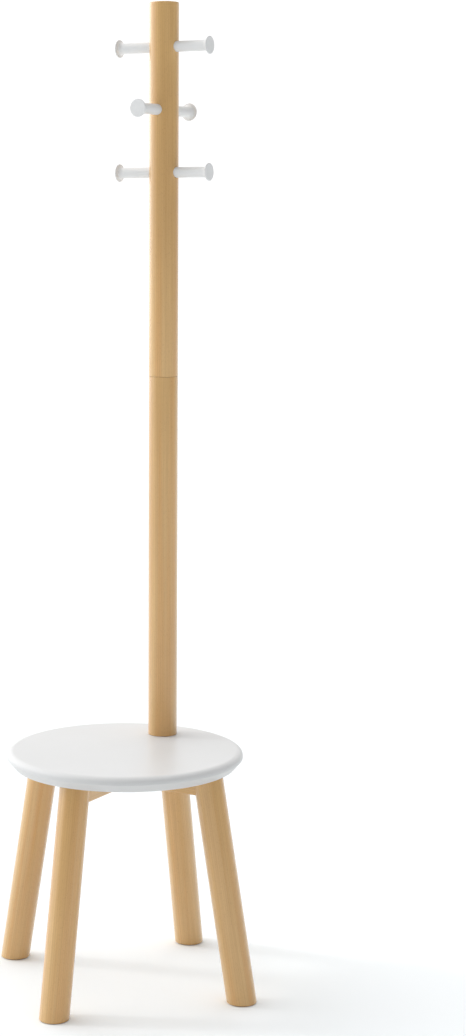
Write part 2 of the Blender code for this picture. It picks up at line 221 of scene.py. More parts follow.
# How strongly each pattern shows in the colour
BAND_SHARE, PATCH_SHARE, RING_SHARE, FIBRE_SHARE, FLECK_SHARE = 0.55, 0.40, 0.30, 0.22, 0.38
SHINIEST_WOOD, DULLEST_WOOD, FLECK_DULLNESS = 0.34, 0.42, 0.12
FIBRE_RISE, FLECK_DENT = 0.35, 0.8

tone = mixed(grain, spread(grain, streak, 0.25, 0.75), MIDDLE, PALE)
tone = mixed(grain, spread(grain, band, 0.45, 0.70, 0.0, BAND_SHARE), tone, HONEY)
tone = mixed(grain, spread(grain, patch, 0.40, 0.70, 0.0, PATCH_SHARE), tone, DEEP)
tone = mixed(grain, maths(grain, "MULTIPLY", late, RING_SHARE), tone, DEEP)
tone = mixed(grain, spread(grain, fibre, 0.35, 0.75, 0.0, FIBRE_SHARE), tone, DEEP)
tone = mixed(grain, maths(grain, "MULTIPLY", fleck, FLECK_SHARE), tone, FLECK_BROWN)
grain.links.new(tone, grain_out["Color"])

dull = spread(grain, streak, 0.2, 0.8, SHINIEST_WOOD, DULLEST_WOOD)
dull = maths(grain, "ADD", dull, maths(grain, "MULTIPLY", fleck, FLECK_DULLNESS))
grain.links.new(dull, grain_out["Roughness"])
raised = maths(grain, "MULTIPLY", fibre, FIBRE_RISE)
height = maths(grain, "SUBTRACT", raised, maths(grain, "MULTIPLY", fleck, FLECK_DENT))
grain.links.new(height, grain_out["Height"])
print("beech grain:", len(grain.nodes), "nodes")

# %% [markdown]
# Every piece of timber is cut from another place, so each gets its own material, which shares the
# group and differs only in a Mapping node. The Mapping turns the grain along the piece and moves
# it to a fresh part of the pattern. The clear lacquer is a thin coat over the wood.


# %% Beech for one piece
GRAIN_BUMP = {"strength": 0.35, "distance": 0.0002}
CLEAR_COAT_ROUGHNESS = 0.22


def material(name):
    """An empty material, with its tree and its Principled shader."""
    made = bpy.data.materials.new(name)
    made.use_nodes = True
    return made, made.node_tree, made.node_tree.nodes["Principled BSDF"]


def bump(tree, height, strength, distance):
    """A Bump node's normal."""
    sockets = {"Height": height, "Strength": strength, "Distance": distance}
    return node(tree, "ShaderNodeBump", sockets).outputs["Normal"]


def beech(name, turn=(0, 0, 0), move=(0, 0, 0)):
    """Lacquered beech. The turn lays the piece's length along the grain's Z."""
    made, tree, shader = material(name)
    place = node(tree, "ShaderNodeTexCoord").outputs["Object"]
    sockets = {"Vector": place, "Rotation": turn, "Location": move}
    moved = node(tree, "ShaderNodeMapping", sockets).outputs[0]
    wood = node(tree, "ShaderNodeGroup", node_tree=grain)
    tree.links.new(moved, wood.inputs["Position"])
    tree.links.new(wood.outputs["Color"], shader.inputs["Base Color"])
    tree.links.new(wood.outputs["Roughness"], shader.inputs["Roughness"])
    normal = bump(tree, wood.outputs["Height"], **GRAIN_BUMP)
    tree.links.new(normal, shader.inputs["Normal"])
    shader.inputs["Coat Weight"].default_value = 1.0
    shader.inputs["Coat Roughness"].default_value = CLEAR_COAT_ROUGHNESS
    return made


# %% [markdown]
# ## White lacquer
#
# The seat and the pegs are wood under sprayed white lacquer. Sprayed lacquer is never quite flat:
# it keeps a fine skin of low waves, and hands leave it a little duller in places. Both are
# far too small to see as a pattern, but they keep the highlights from looking like plastic. The
# tints are shares of each piece's own white. The pegs are the same lacquer as the seat, and their
# brighter white is painted light, standing in for the stronger light that falls on them.

# %% White lacquer
WAVE_SCALE, HANDLING_SCALE, SPECK_SCALE = (420.0,) * 3, (11.0,) * 3, (2600.0,) * 3
SPECK_RISE = 0.2
WORN_TINT, FRESH_TINT = (0.965, 0.970, 0.968), (1.0, 1.004, 1.006)
SHINIEST_LACQUER, DULLEST_LACQUER = 0.36, 0.44
LACQUER_BUMP = {"strength": 0.12, "distance": 0.0001}


def white_lacquer(name, white, move=(0, 0, 0)):
    """Satin white lacquer over wood, at the given white, which on the pegs is raised as painted
    light.
    """
    made, tree, shader = material(name)
    place = node(tree, "ShaderNodeTexCoord").outputs["Object"]
    place = node(tree, "ShaderNodeMapping", {"Vector": place, "Location": move}).outputs[0]
    waves = noise(tree, stretched(tree, place, WAVE_SCALE), detail=1.0)
    handled = noise(tree, stretched(tree, place, HANDLING_SCALE), detail=4.0, roughness=0.6)
    specks = noise(tree, stretched(tree, place, SPECK_SCALE), detail=0.0)
    worn, fresh = [(*(white * part for part in tint), 1) for tint in (WORN_TINT, FRESH_TINT)]
    paint = mixed(tree, spread(tree, handled, 0.3, 0.7), worn, fresh)
    tree.links.new(paint, shader.inputs["Base Color"])
    dull = spread(tree, handled, 0.3, 0.7, SHINIEST_LACQUER, DULLEST_LACQUER)
    tree.links.new(dull, shader.inputs["Roughness"])
    relief = maths(tree, "ADD", waves, maths(tree, "MULTIPLY", specks, SPECK_RISE))
    tree.links.new(bump(tree, relief, **LACQUER_BUMP), shader.inputs["Normal"])
    return made


SEAT_WHITE = white_lacquer("seat_white_lacquer", 0.67)
# painted light: the pegs get a brighter white than the seat's same lacquer, for the stronger light
# on them
PEG_WHITE_PAINTED_BRIGHTER = white_lacquer("peg_white_lacquer", 0.78, move=(0.3, 0.1, 0.2))
print("white lacquer:", SEAT_WHITE.name, PEG_WHITE_PAINTED_BRIGHTER.name)

# %% [markdown]
# ## Steel and felt
#
# The bolts, studs and sleeves are zinc-plated steel, which is bright with a faint cloudy bloom.
# The glides are pressed felt: short fibres in every direction, with no shine but a soft sheen at
# a low angle.

# %% Zinc-plated steel
BLOOM_SCALE, TURNING_MARK_SCALE = (300.0,) * 3, (700.0, 700.0, 9000.0)
DARK_ZINC, BRIGHT_ZINC = (0.50, 0.51, 0.53, 1), (0.72, 0.73, 0.75, 1)
SHINIEST_ZINC, DULLEST_ZINC = 0.26, 0.42
ZINC_BUMP = {"strength": 0.15, "distance": 0.00005}


def zinc_steel():
    """Zinc plating, with a cloudy bloom and fine turning marks."""
    made, tree, shader = material("zinc_steel")
    place = node(tree, "ShaderNodeTexCoord").outputs["Object"]
    bloom = noise(tree, stretched(tree, place, BLOOM_SCALE), detail=3.0)
    marks = noise(tree, stretched(tree, place, TURNING_MARK_SCALE), detail=1.0)
    tree.links.new(mixed(tree, bloom, DARK_ZINC, BRIGHT_ZINC), shader.inputs["Base Color"])
    dull = spread(tree, bloom, 0.3, 0.7, SHINIEST_ZINC, DULLEST_ZINC)
    tree.links.new(dull, shader.inputs["Roughness"])
    tree.links.new(bump(tree, marks, **ZINC_BUMP), shader.inputs["Normal"])
    shader.inputs["Metallic"].default_value = 1.0
    return made


STEEL = zinc_steel()
print("steel finish:", STEEL.name)

# %% Felt
CLUMP_SCALE, FELT_FIBRE_SCALE = (500.0,) * 3, (2500.0, 600.0, 2500.0)
DARK_FELT, LIGHT_FELT = (0.16, 0.145, 0.13, 1), (0.36, 0.335, 0.31, 1)
DULLEST_FELT, SHINIEST_FELT = 0.98, 0.86
FELT_BUMP = {"strength": 0.8, "distance": 0.0004}
FELT_SHEEN, FELT_SHEEN_ROUGHNESS = 0.4, 0.6


def felt():
    """Pressed grey-brown felt."""
    made, tree, shader = material("felt")
    place = node(tree, "ShaderNodeTexCoord").outputs["Object"]
    clumps = noise(tree, stretched(tree, place, CLUMP_SCALE), detail=4.0, roughness=0.7)
    fibres = noise(tree, stretched(tree, place, FELT_FIBRE_SCALE), detail=3.0, roughness=0.8)
    both = maths(tree, "MULTIPLY", maths(tree, "ADD", clumps, fibres), 0.5)
    cloth = mixed(tree, spread(tree, both, 0.3, 0.7), DARK_FELT, LIGHT_FELT)
    tree.links.new(cloth, shader.inputs["Base Color"])
    dull = spread(tree, both, 0.3, 0.7, DULLEST_FELT, SHINIEST_FELT)
    tree.links.new(dull, shader.inputs["Roughness"])
    tree.links.new(bump(tree, both, **FELT_BUMP), shader.inputs["Normal"])
    shader.inputs["Sheen Weight"].default_value = FELT_SHEEN
    shader.inputs["Sheen Roughness"].default_value = FELT_SHEEN_ROUGHNESS
    return made


FELT = felt()
print("felt finish:", FELT.name)

# %% [markdown]
# ## Outlines
#
# Nearly every piece of the rack is turned work, so it starts as the outline that a turner would
# draw: points of radius and height, from the foot of the axis up the outer side to its top. The
# drawing names only the corners. Each corner that is eased on the real piece has the size of its
# rounding beside it, and this helper puts in the arc.

# %% Outlines
ARC_STEP = radians(7.5)


def eased(corners):
    """An outline from corners of (radius, height), with a size after them where one is rounded."""
    outline = []
    for number, (radius, height, *size) in enumerate(corners):
        here = Vector((radius, height))
        if not size:
            outline.append(tuple(here))
            continue
        before = (Vector(corners[number - 1][:2]) - here).normalized()
        after = (Vector(corners[number + 1][:2]) - here).normalized()
        half = before.angle(after) / 2
        centre = here + (before + after).normalized() * (size[0] / sin(half))
        start = here + before * (size[0] / tan(half)) - centre
        end = here + after * (size[0] / tan(half)) - centre
        steps = ceil((pi - 2 * half) / ARC_STEP)
        first, last = atan2(start.y, start.x), atan2(end.y, end.x)
        turn = (last - first + pi) % (2 * pi) - pi
        for step in range(steps + 1):
            angle = first + turn * step / steps
            outline.append((centre.x + size[0] * cos(angle), centre.y + size[0] * sin(angle)))
    return outline


print("a rounded corner has a step every", round(degrees(ARC_STEP), 1), "degrees")


# %% [markdown]
# ## A lathe made of nodes
#
# One Geometry Nodes tree serves as the lathe for all the turned pieces. It makes a grid with one
# row for each point of the outline, wraps the grid round the Z axis, and closes it by merging the
# points that meet. A Screw modifier would do much the same, but the tree can also lean the piece
# as it turns it. That is just what the legs need: a leg that leans and is sawn level at both ends
# is a stack of equal level slices, each set a little further over.

# %% The lathe's rows
lathe, lathe_in, lathe_out = group(
    "lathe",
    "GeometryNodeTree",
    {"Outline": GEOMETRY, "Steps": INTEGER, "Lean": FLOAT},
    {"Geometry": GEOMETRY},
)
outline_size = node(lathe, "GeometryNodeAttributeDomainSize", {0: lathe_in["Outline"]})
points = outline_size.outputs["Point Count"]
last_row = maths(lathe, "SUBTRACT", points, 1.0)
sheet_sockets = {
    "Size X": lathe_in["Steps"],
    "Size Y": last_row,
    "Vertices X": maths(lathe, "ADD", lathe_in["Steps"], 1.0),
    "Vertices Y": points,
}
sheet = node(lathe, "GeometryNodeMeshGrid", sheet_sockets).outputs["Mesh"]
place = node(lathe, "GeometryNodeInputPosition").outputs[0]
spot = node(lathe, "ShaderNodeSeparateXYZ", {0: place}).outputs
column = maths(lathe, "ADD", spot["X"], maths(lathe, "DIVIDE", lathe_in["Steps"], 2.0))
row = maths(lathe, "ADD", spot["Y"], maths(lathe, "DIVIDE", last_row, 2.0))
row = node(lathe, "FunctionNodeFloatToInt", {0: row}, rounding_mode="ROUND").outputs[0]
sampled = node(
    lathe,
    "GeometryNodeSampleIndex",
    {0: lathe_in["Outline"], 1: place, 2: row},
    data_type="FLOAT_VECTOR",
    domain="POINT",
)
drawn = node(lathe, "ShaderNodeSeparateXYZ", {0: sampled.outputs[0]}).outputs
print("lathe:", len(lathe.nodes), "nodes so far")

# %% [markdown]
# Each row is now wrapped into a ring. A level slice through a leaning round bar is an ellipse,
# longer the way the bar leans.

# %% The lathe's turn
MERGE = 0.000001  # points closer than this become one

turn = maths(lathe, "MULTIPLY", maths(lathe, "DIVIDE", column, lathe_in["Steps"]), 2 * pi)
longer = maths(lathe, "DIVIDE", 1.0, maths(lathe, "COSINE", lathe_in["Lean"]))
over = maths(lathe, "MULTIPLY", drawn["Z"], maths(lathe, "TANGENT", lathe_in["Lean"]))
across = maths(lathe, "MULTIPLY", drawn["X"], maths(lathe, "COSINE", turn))
turned_place = node(
    lathe,
    "ShaderNodeCombineXYZ",
    {
        "X": maths(lathe, "SUBTRACT", maths(lathe, "MULTIPLY", across, longer), over),
        "Y": maths(lathe, "MULTIPLY", drawn["X"], maths(lathe, "SINE", turn)),
        "Z": drawn["Z"],
    },
).outputs[0]
ring_sockets = {"Geometry": sheet, "Position": turned_place}
wrapped = node(lathe, "GeometryNodeSetPosition", ring_sockets).outputs[0]
merge_sockets = {"Geometry": wrapped, "Distance": MERGE}
closed = node(lathe, "GeometryNodeMergeByDistance", merge_sockets).outputs[0]
lathe.links.new(closed, lathe_out["Geometry"])
print("lathe:", len(lathe.nodes), "nodes")

# %% [markdown]
# The lathe is wrapped in a second tree for single pieces, which sets the material. The helper that
# runs a tree puts the outline in a mesh, sets the modifier's inputs, and keeps the result as a
# plain mesh. The inputs are set by their identifiers, because that is what the modifier stores.


# %% One turned piece
SHARP = radians(35)  # an edge that turns by more than this stays crisp


def ending(tree, geometry, chosen_material, output):
    """Makes real pieces of any instances, and paints them. Every tree on a piece ends so."""
    real = node(tree, "GeometryNodeRealizeInstances", {"Geometry": geometry}).outputs[0]
    painted = node(tree, "GeometryNodeSetMaterial", {"Geometry": real, "Material": chosen_material})
    tree.links.new(painted.outputs[0], output)


single, single_in, single_out = group(
    "single_turned_piece",
    "GeometryNodeTree",
    {"Outline": GEOMETRY, "Steps": INTEGER, "Lean": FLOAT, "Material": MATERIAL},
    {"Geometry": GEOMETRY},
)
turned = node(single, "GeometryNodeGroup", node_tree=lathe)
for label in ("Outline", "Steps", "Lean"):
    single.links.new(single_in[label], turned.inputs[label])
ending(single, turned.outputs[0], single_in["Material"], single_out["Geometry"])
print("tree for single pieces:", len(single.nodes), "nodes")


# %% Run a tree and keep its result
def settle(piece):
    """Keeps what a piece's modifiers made as a plain mesh, and shades its round sides smooth."""
    graph = bpy.context.evaluated_depsgraph_get()
    mesh = bpy.data.meshes.new_from_object(piece.evaluated_get(graph))
    piece.modifiers.clear()
    piece.data = mesh
    mesh.name = piece.name
    mesh.shade_smooth()
    mesh.set_sharp_from_angle(angle=SHARP)


def run(tree, name, outline, sizes):
    """Runs a tree on an outline, and returns the finished piece."""
    drawing = bpy.data.meshes.new(f"{name}_outline")
    drawing.from_pydata([(radius, 0, height) for radius, height in outline], [], [])
    piece = bpy.data.objects.new(name, drawing)
    scene.collection.objects.link(piece)
    modifier = piece.modifiers.new(tree.name, "NODES")
    modifier.node_group = tree
    inputs = [item for item in tree.interface.items_tree if item.in_out == "INPUT"]
    identifiers = {item.name: item.identifier for item in inputs}
    for label, value in sizes.items():
        modifier[identifiers[label]] = value
    settle(piece)
    bpy.data.meshes.remove(drawing)
    return piece


def stands_for(piece, slot, *nodes):
    """The finished piece rides on the rack's one body, in the place of its CAD nodes."""
    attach(piece, "root")
    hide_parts(*nodes)
    faces = len(piece.data.polygons)
    print(piece.name, "has", faces, "faces and stands for", len(nodes), "CAD nodes")


# %% [markdown]
# ## Cutting holes and notches
#
# The real pieces are drilled and notched after they are turned. The same is done here with exact
# Booleans, so the joints are as open or as tight as on the CAD model. A cutter is thrown away once
# its cut is kept.


# %% Drills and notches
HOLE_STEPS = 48


def drill(radius, low, high, place=None):
    """A round cutter along Z, moved to its place."""
    shape = bmesh.new()
    bmesh.ops.create_cone(
        shape, cap_ends=True, segments=HOLE_STEPS, radius1=radius, radius2=radius, depth=high - low
    )
    bmesh.ops.translate(shape, vec=(0, 0, (low + high) / 2), verts=shape.verts)
    bmesh.ops.transform(shape, matrix=place or Matrix.Identity(4), verts=shape.verts)
    return shape


def chisel(low, high):
    """A box cutter between two corners."""
    shape = bmesh.new()
    bmesh.ops.create_cube(shape, size=1)
    size = [b - a for a, b in zip(low, high)]
    middle = [(a + b) / 2 for a, b in zip(low, high)]
    stretch = Matrix.Translation(middle) @ Matrix.Diagonal((*size, 1))
    bmesh.ops.transform(shape, matrix=stretch, verts=shape.verts)
    return shape


def cut(piece, shapes):
    """Cuts each shape from the piece."""
    cutters = []
    for number, shape in enumerate(shapes):
        mesh = bpy.data.meshes.new(f"{piece.name}_cutter_{number}")
        shape.to_mesh(mesh)
        shape.free()
        cutter = bpy.data.objects.new(mesh.name, mesh)
        scene.collection.objects.link(cutter)
        boolean = piece.modifiers.new(mesh.name, "BOOLEAN")
        boolean.object = cutter
        boolean.operation = "DIFFERENCE"
        boolean.solver = "EXACT"
        cutters.append(cutter)
    bpy.context.view_layer.update()
    settle(piece)
    for cutter in cutters:
        bpy.data.meshes.remove(cutter.data)
    return piece


print("a drilled hole has", HOLE_STEPS, "sides")

# %% [markdown]
# ## Seat
#
# The seat is a round board, 400 mm across and 26 mm thick. Its top edge is rounded over where
# legs press on it, on a quarter ellipse that is wider than it is deep. The lower edge slopes in,
# which makes the board look thinner than it is. Extra points just inside the rims hold the flat
# faces flat: without them the shading of the round would bleed over the whole top.

# %% Seat
GAP = 0.0003  # left between two pieces that touch
HOLD = 0.001  # from a rounded rim in to the extra point that holds a face flat
SEAT_STEPS = 240

SEAT_TOP = 0.405
SEAT_RADIUS = 0.200
SEAT_UNDERSIDE = 0.379
SEAT_ROUND_IN = 0.012  # how far in from the rim the top edge starts to round over
SEAT_ROUND_DOWN = 0.009  # how far down the rounding ends
SEAT_ROUND_STEPS = 14
SEAT_BAND = 0.012  # from the sitting face down to where the lower edge starts to slope in
SEAT_CHAMFER = 0.012  # how far that slope runs in
SEAT_LOWER_EASE = 0.0012

rounded_over = []
for step in range(SEAT_ROUND_STEPS + 1):
    angle = pi / 2 * step / SEAT_ROUND_STEPS
    from_rim = SEAT_ROUND_IN * (1 - cos(angle))
    from_top = SEAT_ROUND_DOWN * (1 - sin(angle))
    rounded_over.append((SEAT_RADIUS - from_rim, SEAT_TOP - from_top))
seat_outline = eased(
    [
        (0, SEAT_UNDERSIDE),
        (SEAT_RADIUS - SEAT_CHAMFER - 3 * HOLD, SEAT_UNDERSIDE),
        (SEAT_RADIUS - SEAT_CHAMFER, SEAT_UNDERSIDE, SEAT_LOWER_EASE),
        (SEAT_RADIUS, SEAT_TOP - SEAT_BAND, SEAT_LOWER_EASE),
        *rounded_over,
        (SEAT_RADIUS - SEAT_ROUND_IN - HOLD, SEAT_TOP),
        (0, SEAT_TOP),
    ]
)
seat_sizes = {"Steps": SEAT_STEPS, "Lean": 0.0, "Material": SEAT_WHITE}
seat = run(single, "seat_board", seat_outline, seat_sizes)
print("the seat's outline has", len(seat_outline), "points")

# %% [markdown]
# The seat is drilled from below for the sleeves of five bolts, one over each arm of the beams and
# one over their crossing. The pole's bolt goes right through it, and a dowel in front of that bolt
# keeps the pole from turning.

# %% Holes in the seat
BEYOND = 0.01  # how far a cutter runs out past the face that it cuts
SEAT_BOLT_REACH = 0.085
SEAT_SLEEVE_HOLE = 0.0053
SLEEVE_DEPTH = 0.0139
POLE_OFFSET = 0.128  # from the middle of the seat back to the pole's axis
POLE_BOLT_HOLE = 0.0045
DOWEL_HOLE = 0.0043
DOWEL_DEPTH = 0.0113
DOWEL_FORWARD = 0.014

HEADINGS = {"front": -pi / 2, "right": 0.0, "back": pi / 2, "left": pi}
bolt_reach = Matrix.Translation((SEAT_BOLT_REACH, 0, 0))
bolt_places = [Matrix.Rotation(angle, 4, "Z") @ bolt_reach for angle in HEADINGS.values()]
bolt_places.append(Matrix.Identity(4))
pole_place = Matrix.Translation((0, POLE_OFFSET, 0))
dowel_place = Matrix.Translation((0, POLE_OFFSET - DOWEL_FORWARD, 0))
below, above = SEAT_UNDERSIDE - BEYOND, SEAT_TOP + BEYOND
sleeve_floor = SEAT_UNDERSIDE + SLEEVE_DEPTH
holes = [drill(SEAT_SLEEVE_HOLE, below, sleeve_floor, spot) for spot in bolt_places]
holes.append(drill(POLE_BOLT_HOLE, below, above, pole_place))
holes.append(drill(DOWEL_HOLE, SEAT_TOP - DOWEL_DEPTH, above, dowel_place))
cut(seat, holes)
stands_for(seat, "white_lacquer", "seat")

# %% [markdown]
# ## Legs
#
# The legs are 50 mm dowels that splay out by ten degrees. They are sawn level at the top, where
# they meet the underside of the seat, and at the foot. A notch near the top houses the end of a
# beam, a mortise behind it takes the beam's tenon, and a shallow round recess in the foot takes
# the felt glide. Each leg is turned and cut along +X and then swung round to its side.

# %% Legs
LEG_RADIUS = 0.025
LEG_SPLAY = radians(10)
LEG_FOOT_REACH = 0.2267  # from the origin out to the leg's axis at floor level
LEG_EDGE_ROUND = 0.0015
LEG_LOW = 0.001  # the glide stands out of the foot by this much
FRAME_TOP = SEAT_UNDERSIDE - GAP
BAR_STEPS = 96  # faces round a 50 mm bar

leg_outline = eased(
    [
        (0, LEG_LOW),
        (LEG_RADIUS - LEG_EDGE_ROUND - HOLD, LEG_LOW),
        (LEG_RADIUS, LEG_LOW, LEG_EDGE_ROUND),
        (LEG_RADIUS, FRAME_TOP, LEG_EDGE_ROUND),
        (LEG_RADIUS - LEG_EDGE_ROUND - HOLD, FRAME_TOP),
        (0, FRAME_TOP),
    ]
)
print("a leg's outline has", len(leg_outline), "points")

# %% Cut the legs
BEAM_WIDTH, BEAM_HEIGHT = 0.034, 0.032
BEAM_REACH = 0.149  # from the middle out to the beam's end in the leg
BEAM_UNDERSIDE = FRAME_TOP - BEAM_HEIGHT
BEAM_MIDDLE = FRAME_TOP - BEAM_HEIGHT / 2
TENON_REACH, TENON_WIDTH, TENON_HEIGHT = 0.168, 0.018, 0.020
GLIDE_RADIUS, GLIDE_THICKNESS = 0.015, 0.003
FIRST_LEG_IN_LOG, NEXT_LEG_IN_LOG = 0.4, 0.9  # each leg is cut further along the same log


def beech_along_leg(name, angle, start):
    """Beech with its grain along a leg that leans in from a heading, starting at some length."""
    turn = (-LEG_SPLAY * sin(angle), LEG_SPLAY * cos(angle), 0)
    foot = Vector((LEG_FOOT_REACH * cos(angle), LEG_FOOT_REACH * sin(angle), 0))
    turned_foot = Matrix.Rotation(turn[1], 3, "Y") @ Matrix.Rotation(turn[0], 3, "X") @ foot
    return beech(name, turn, Vector((0, 0, start)) - turned_foot)


def leg_cutters():
    """The housing and mortise for the beam, and the recess for the glide."""
    inside = BEAM_REACH - 2 * LEG_RADIUS
    half, half_tenon = BEAM_WIDTH / 2 + GAP, TENON_WIDTH / 2 + GAP
    half_height = TENON_HEIGHT / 2 + GAP
    out_to_foot = Matrix.Translation((LEG_FOOT_REACH, 0, 0))
    return [
        chisel((inside, -half, BEAM_UNDERSIDE - GAP), (BEAM_REACH + GAP, half, SEAT_TOP)),
        chisel(
            (inside, -half_tenon, BEAM_MIDDLE - half_height),
            (TENON_REACH + GAP, half_tenon, BEAM_MIDDLE + half_height),
        ),
        drill(GLIDE_RADIUS + GAP, -BEYOND, GLIDE_THICKNESS + GAP, out_to_foot),
    ]


for number, (side, angle) in enumerate(HEADINGS.items()):
    start = NEXT_LEG_IN_LOG * number + FIRST_LEG_IN_LOG
    wood = beech_along_leg(f"beech_leg_{side}", angle, start)
    leg_sizes = {"Steps": BAR_STEPS, "Lean": LEG_SPLAY, "Material": wood}
    leg = run(single, f"turned_leg_{side}", leg_outline, leg_sizes)
    leg.data.transform(Matrix.Translation((LEG_FOOT_REACH, 0, 0)))
    cut(leg, leg_cutters())
    leg.data.transform(Matrix.Rotation(angle, 4, "Z"))
    stands_for(leg, "beech", f"leg_{side}")

# %% [markdown]
# ## Beams
#
# Two square beams cross under the seat in a halved joint, and their ends are let into the legs.
# The CAD model already has their eased edges, notches, tenons and bolt holes, so they stay as
# they are and only get their timber. One is turned about Y and the other about X, so that the
# grain runs along each. The last numbers say which part of the log a beam is cut from.

# %% Beams
BEAM_TIMBER = {
    "beam_left_right": beech("beech_beam_left_right", (0, -pi / 2, 0), (0.021, 0.004, 4.3)),
    "beam_front_back": beech("beech_beam_front_back", (pi / 2, 0, 0), (-0.013, -0.019, 5.6)),
}
for name, timber in BEAM_TIMBER.items():
    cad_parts[name].material_slots[0].material = timber
    print(name, "is painted with", timber.name)

# %% [markdown]
# ## Pole
#
# The pole is one 50 mm dowel in two equal sections, screwed together half way up so that the rack
# fits in a short box. Only a hairline shows where they meet, because both ends are barely eased.
# The top edge is rounded a little more for the hand. The upper section has a shallow flat seat
# and a deeper hole for each peg.

# %% Pole
POLE_RADIUS = 0.025
TOTAL_HEIGHT = 1.654
POLE_TOP_ROUND = 0.002
POLE_END_ROUND = 0.0005
POLE_FOOT = SEAT_TOP + GAP
POLE_JOIN = (SEAT_TOP + TOTAL_HEIGHT) / 2
SLEEVE_HOLE, SLEEVE_HOLE_DEPTH = 0.0063, 0.0259  # for the sleeves at the ends of the sections


def section_outline(low, high, top_round):
    """One section of the pole."""
    return eased(
        [
            (0, low),
            (POLE_RADIUS - POLE_END_ROUND - HOLD, low),
            (POLE_RADIUS, low, POLE_END_ROUND),
            (POLE_RADIUS, high, top_round),
            (POLE_RADIUS - top_round - HOLD, high),
            (0, high),
        ]
    )


lower_top, upper_foot = POLE_JOIN - GAP / 2, POLE_JOIN + GAP / 2
lower_beech = beech("beech_lower_pole", move=(0.0, -POLE_OFFSET, 6.5))
lower = run(
    single,
    "lower_pole_section",
    section_outline(POLE_FOOT, lower_top, POLE_END_ROUND),
    {"Steps": BAR_STEPS, "Lean": 0.0, "Material": lower_beech},
)
forward = Matrix.Translation((0, -DOWEL_FORWARD, 0))
lower_holes = [
    drill(SLEEVE_HOLE, POLE_FOOT - BEYOND, POLE_FOOT + SLEEVE_HOLE_DEPTH),
    drill(SLEEVE_HOLE, lower_top - SLEEVE_HOLE_DEPTH, lower_top + BEYOND),
    drill(DOWEL_HOLE, POLE_FOOT - BEYOND, POLE_FOOT + DOWEL_DEPTH, forward),
]
cut(lower, lower_holes)
lower.data.transform(pole_place)
stands_for(lower, "beech", "lower_pole")

# %% [markdown]
# Two drills in one hole would leave a ragged joint where they meet, so each peg's seat and sleeve
# hole are cut by one stepped shape, turned on the same lathe rules as everything else.

# %% Upper section
PEG_SEAT = 0.022  # from the pole's axis to the flat that the peg sits on
PEG_SEAT_RADIUS = 0.0093
PEG_SLEEVE_HOLE, PEG_SLEEVE_FLOOR = 0.0053, 0.0081
PEG_FIRST_HEIGHT = 1.5807
PEG_SPACING = 0.1038
PEG_COUNT = 6


def peg_place(number):
    """Where a peg is, with its Z axis outwards. Pairs stand crosswise on each level."""
    level, second = divmod(number, 2)
    heading = second * pi + (level % 2) * pi / 2
    height = PEG_FIRST_HEIGHT - level * PEG_SPACING
    outwards = Matrix.Rotation(heading, 4, "Z") @ Matrix.Rotation(pi / 2, 4, "Y")
    return Matrix.Translation((0, 0, height)) @ outwards


upper_beech = beech("beech_upper_pole", move=(0.0, -POLE_OFFSET, 9.2))
upper = run(
    single,
    "upper_pole_section",
    section_outline(upper_foot, TOTAL_HEIGHT, POLE_TOP_ROUND),
    {"Steps": BAR_STEPS, "Lean": 0.0, "Material": upper_beech},
)
outside = POLE_RADIUS + BEYOND
stepped = [
    (0, PEG_SLEEVE_FLOOR),
    (PEG_SLEEVE_HOLE, PEG_SLEEVE_FLOOR),
    (PEG_SLEEVE_HOLE, PEG_SEAT),
    (PEG_SEAT_RADIUS, PEG_SEAT),
    (PEG_SEAT_RADIUS, outside),
    (0, outside),
]
stepped_sizes = {"Steps": HOLE_STEPS, "Lean": 0.0, "Material": STEEL}
stepped_drill = run(single, "stepped_drill", stepped, stepped_sizes)
upper_holes = [drill(SLEEVE_HOLE, upper_foot - BEYOND, upper_foot + SLEEVE_HOLE_DEPTH)]
for number in range(PEG_COUNT):
    shape = bmesh.new()
    shape.from_mesh(stepped_drill.data)
    bmesh.ops.transform(shape, matrix=peg_place(number), verts=shape.verts)
    upper_holes.append(shape)
bpy.data.meshes.remove(stepped_drill.data)
cut(upper, upper_holes)
upper.data.transform(pole_place)
stands_for(upper, "beech", "upper_pole")

# %% [markdown]
# ## Pegs
#
# Six white turned pegs stand out of the pole in crosswise pairs on three levels. Each is a plain
# rod that opens in a hollow curve to a thin round head, which keeps a coat from sliding off.
# They follow a rule, so Geometry Nodes set them out: the tree turns one peg and places a copy on
# each point, with the height from the level and the heading from the pair. Changing one input
# moves a whole level.

# %% One peg's outline
PEG_ROD_RADIUS = 0.009
PEG_HEAD_RADIUS = 0.015
PEG_HEAD_THICKNESS = 0.0025
PEG_REACH = 0.088  # from the pole's axis to the face of the head
PEG_FLARE = 0.009  # the length of the hollow curve
PEG_STUD_HOLE, PEG_STUD_END = 0.0033, 0.0386  # the blind hole in the root for the stud
FLARE_STEPS, RIM_STEPS, PEG_STEPS = 14, 16, 64

rim = PEG_HEAD_THICKNESS / 2
rim_radius = PEG_HEAD_RADIUS - rim
peg_root = PEG_SEAT + GAP
flare_start = PEG_REACH - PEG_HEAD_THICKNESS - PEG_FLARE
peg_outline = [
    (0, PEG_STUD_END),
    (PEG_STUD_HOLE, PEG_STUD_END),
    (PEG_STUD_HOLE, peg_root),
    (PEG_ROD_RADIUS, peg_root),
]
for step in range(FLARE_STEPS):
    angle = pi / 2 * step / FLARE_STEPS
    swelling = (rim_radius - PEG_ROD_RADIUS) * (1 - cos(angle))
    peg_outline.append((PEG_ROD_RADIUS + swelling, flare_start + PEG_FLARE * sin(angle)))
for step in range(RIM_STEPS + 1):
    angle = pi * step / RIM_STEPS - pi / 2
    peg_outline.append((rim_radius + rim * cos(angle), PEG_REACH - rim + rim * sin(angle)))
peg_outline += [(rim_radius - HOLD, PEG_REACH), (0, PEG_REACH)]
print("a peg's outline has", len(peg_outline), "points")

